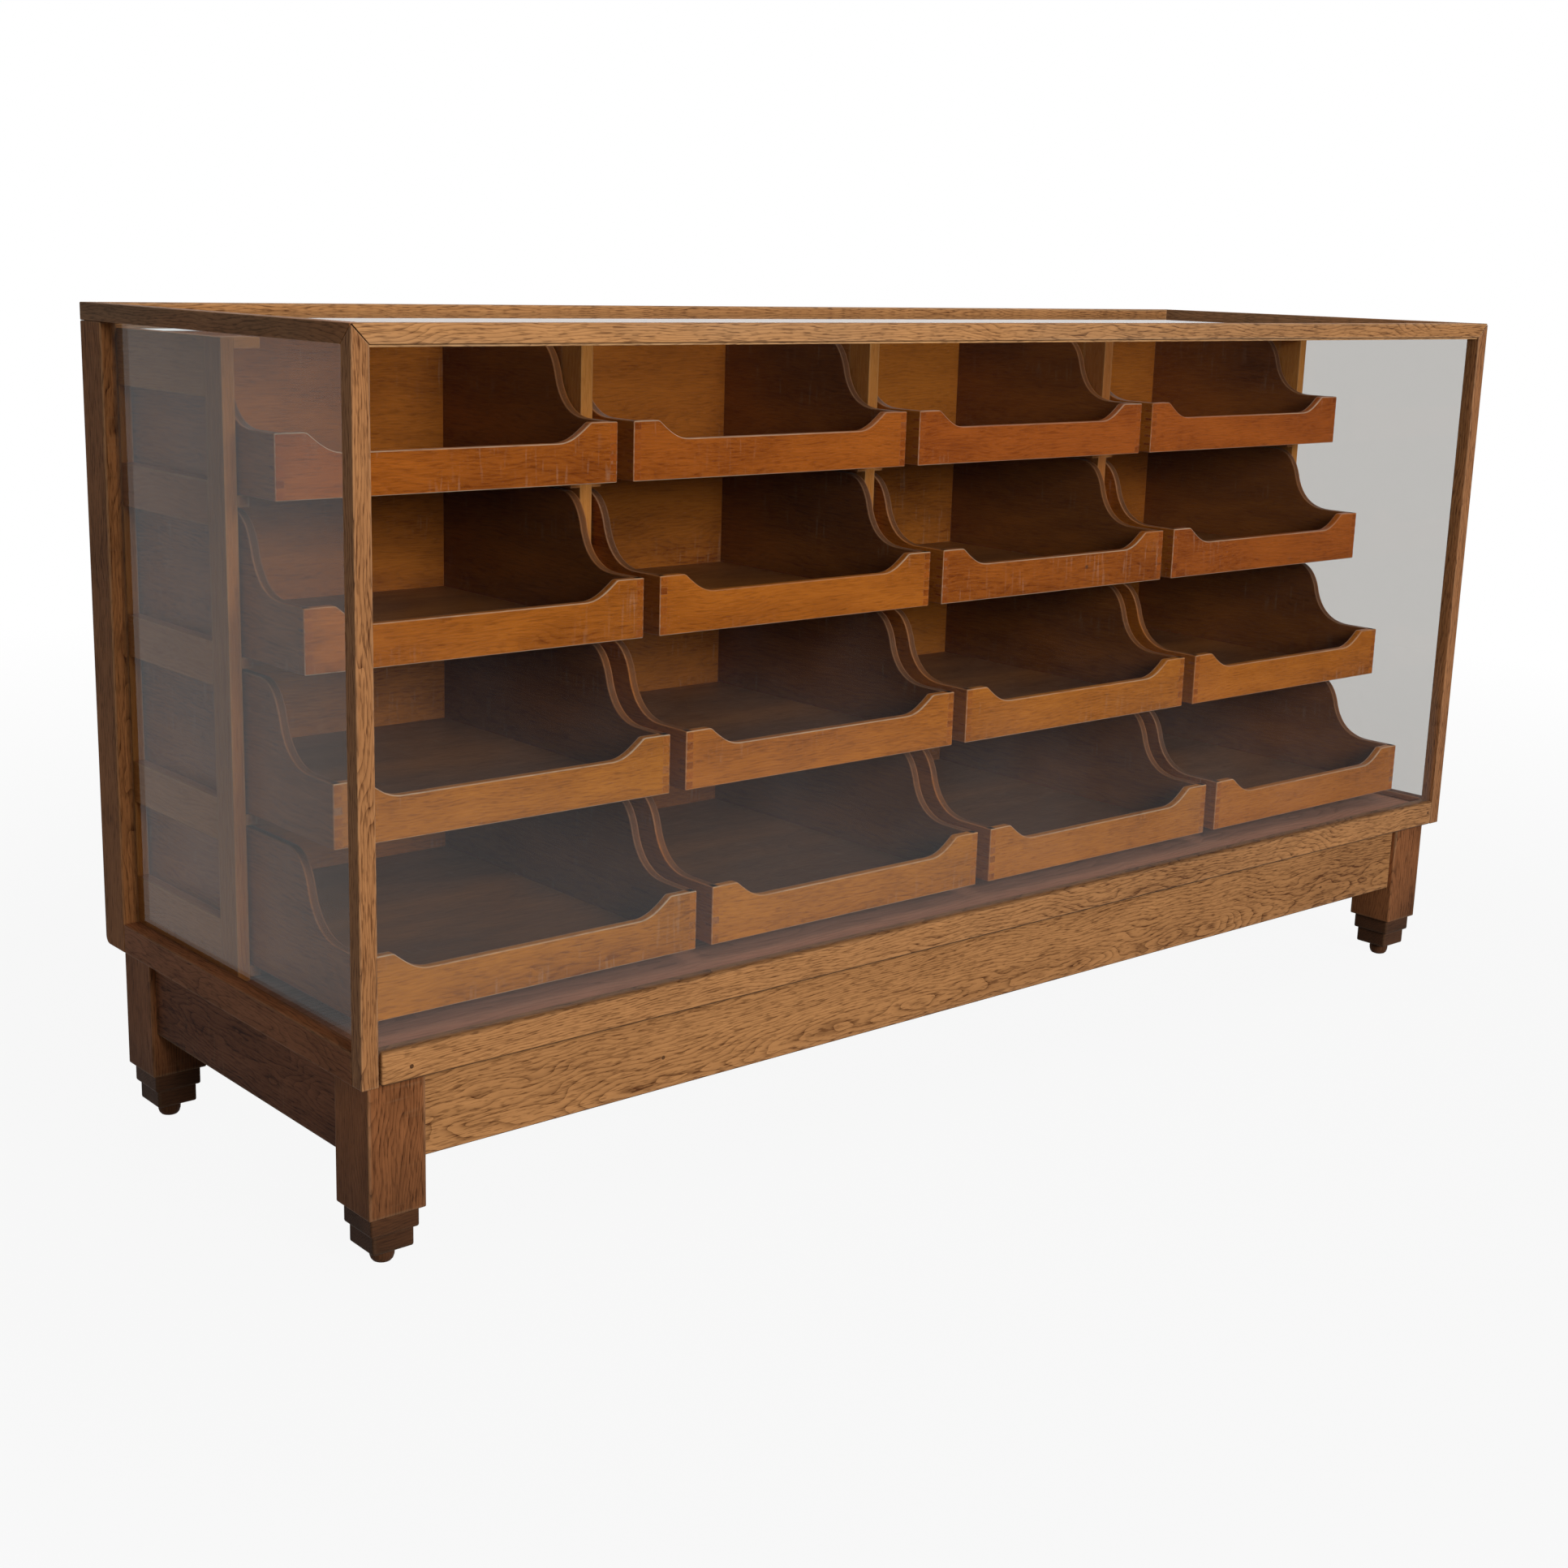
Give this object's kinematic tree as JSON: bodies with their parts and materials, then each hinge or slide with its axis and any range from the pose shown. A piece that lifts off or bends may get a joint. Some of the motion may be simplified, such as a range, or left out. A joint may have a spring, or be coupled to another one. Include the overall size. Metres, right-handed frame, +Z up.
{
  "type": "haberdashery cabinet",
  "caption": "Oak shop counter with a glazed case over stepped rows of open display drawers that the clerk slides out at the back, on stepped square legs.",
  "frame": {"origin": "centre of the bounding box at floor level, under the four glides", "axes": "+Z up, +X along the counter to the right as seen from the glass front, -Y towards the customer, +Y towards the clerk"},
  "size_m": [1.8, 0.592, 0.92],
  "materials": {
    "light_oak": "worn oiled oak, honey brown",
    "aged_oak": "old dark red-brown oak, worn wax",
    "carcass_wood": "pale varnished beech",
    "drawer_wood": "orange-brown lacquered beech with worn pale edges",
    "floor_wood": "dull grey-brown softwood board",
    "clear_glass": "old clear drawn glass",
    "aged_brass": "turned brass, dulled"
  },
  "bodies": {
    "cabinet": {"glass_front": "clear_glass", "glass_left": "clear_glass", "glass_right": "clear_glass", "glass_top": "clear_glass", "front_post_left": "aged_oak", "front_post_right": "aged_oak", "back_post_left": "aged_oak", "back_post_right": "aged_oak", "top_rail_left": "aged_oak", "top_rail_right": "aged_oak", "tray_rail_left": "aged_oak", "tray_rail_right": "aged_oak", "apron_left": "aged_oak", "apron_right": "aged_oak", "leg_front_left": "aged_oak", "leg_front_right": "aged_oak", "leg_back_left": "aged_oak", "leg_back_right": "aged_oak", "top_rail_front": "light_oak", "tray_rail_front": "light_oak", "apron_front": "light_oak", "top_rail_back": "light_oak", "floor_board": "floor_wood", "end_frame_left": "carcass_wood", "end_frame_right": "carcass_wood", "divider_1": "carcass_wood", "divider_2": "carcass_wood", "divider_3": "carcass_wood"},
    "drawer_1_1": {"drawer_row1_col1": "drawer_wood", "knob_row1_col1": "aged_brass"},
    "drawer_1_2": {"drawer_row1_col2": "drawer_wood", "knob_row1_col2": "aged_brass"},
    "drawer_1_3": {"drawer_row1_col3": "drawer_wood", "knob_row1_col3": "aged_brass"},
    "drawer_1_4": {"drawer_row1_col4": "drawer_wood", "knob_row1_col4": "aged_brass"},
    "drawer_2_1": {"drawer_row2_col1": "drawer_wood", "knob_row2_col1": "aged_brass"},
    "drawer_2_2": {"drawer_row2_col2": "drawer_wood", "knob_row2_col2": "aged_brass"},
    "drawer_2_3": {"drawer_row2_col3": "drawer_wood", "knob_row2_col3": "aged_brass"},
    "drawer_2_4": {"drawer_row2_col4": "drawer_wood", "knob_row2_col4": "aged_brass"},
    "drawer_3_1": {"drawer_row3_col1": "drawer_wood", "knob_row3_col1": "aged_brass"},
    "drawer_3_2": {"drawer_row3_col2": "drawer_wood", "knob_row3_col2": "aged_brass"},
    "drawer_3_3": {"drawer_row3_col3": "drawer_wood", "knob_row3_col3": "aged_brass"},
    "drawer_3_4": {"drawer_row3_col4": "drawer_wood", "knob_row3_col4": "aged_brass"},
    "drawer_4_1": {"drawer_row4_col1": "drawer_wood", "knob_row4_col1": "aged_brass"},
    "drawer_4_2": {"drawer_row4_col2": "drawer_wood", "knob_row4_col2": "aged_brass"},
    "drawer_4_3": {"drawer_row4_col3": "drawer_wood", "knob_row4_col3": "aged_brass"},
    "drawer_4_4": {"drawer_row4_col4": "drawer_wood", "knob_row4_col4": "aged_brass"}
  },
  "joints": [
    {"name": "slide_1_1", "type": "slide", "parent": "cabinet", "child": "drawer_1_1", "axis": [0, 1, 0], "range_m": [0, 0.28]},
    {"name": "slide_1_2", "type": "slide", "parent": "cabinet", "child": "drawer_1_2", "axis": [0, 1, 0], "range_m": [0, 0.28]},
    {"name": "slide_1_3", "type": "slide", "parent": "cabinet", "child": "drawer_1_3", "axis": [0, 1, 0], "range_m": [0, 0.28]},
    {"name": "slide_1_4", "type": "slide", "parent": "cabinet", "child": "drawer_1_4", "axis": [0, 1, 0], "range_m": [0, 0.28]},
    {"name": "slide_2_1", "type": "slide", "parent": "cabinet", "child": "drawer_2_1", "axis": [0, 1, 0], "range_m": [0, 0.331]},
    {"name": "slide_2_2", "type": "slide", "parent": "cabinet", "child": "drawer_2_2", "axis": [0, 1, 0], "range_m": [0, 0.331]},
    {"name": "slide_2_3", "type": "slide", "parent": "cabinet", "child": "drawer_2_3", "axis": [0, 1, 0], "range_m": [0, 0.331]},
    {"name": "slide_2_4", "type": "slide", "parent": "cabinet", "child": "drawer_2_4", "axis": [0, 1, 0], "range_m": [0, 0.331]},
    {"name": "slide_3_1", "type": "slide", "parent": "cabinet", "child": "drawer_3_1", "axis": [0, 1, 0], "range_m": [0, 0.383]},
    {"name": "slide_3_2", "type": "slide", "parent": "cabinet", "child": "drawer_3_2", "axis": [0, 1, 0], "range_m": [0, 0.383]},
    {"name": "slide_3_3", "type": "slide", "parent": "cabinet", "child": "drawer_3_3", "axis": [0, 1, 0], "range_m": [0, 0.383]},
    {"name": "slide_3_4", "type": "slide", "parent": "cabinet", "child": "drawer_3_4", "axis": [0, 1, 0], "range_m": [0, 0.383]},
    {"name": "slide_4_1", "type": "slide", "parent": "cabinet", "child": "drawer_4_1", "axis": [0, 1, 0], "range_m": [0, 0.434]},
    {"name": "slide_4_2", "type": "slide", "parent": "cabinet", "child": "drawer_4_2", "axis": [0, 1, 0], "range_m": [0, 0.434]},
    {"name": "slide_4_3", "type": "slide", "parent": "cabinet", "child": "drawer_4_3", "axis": [0, 1, 0], "range_m": [0, 0.434]},
    {"name": "slide_4_4", "type": "slide", "parent": "cabinet", "child": "drawer_4_4", "axis": [0, 1, 0], "range_m": [0, 0.434]}
  ]
}
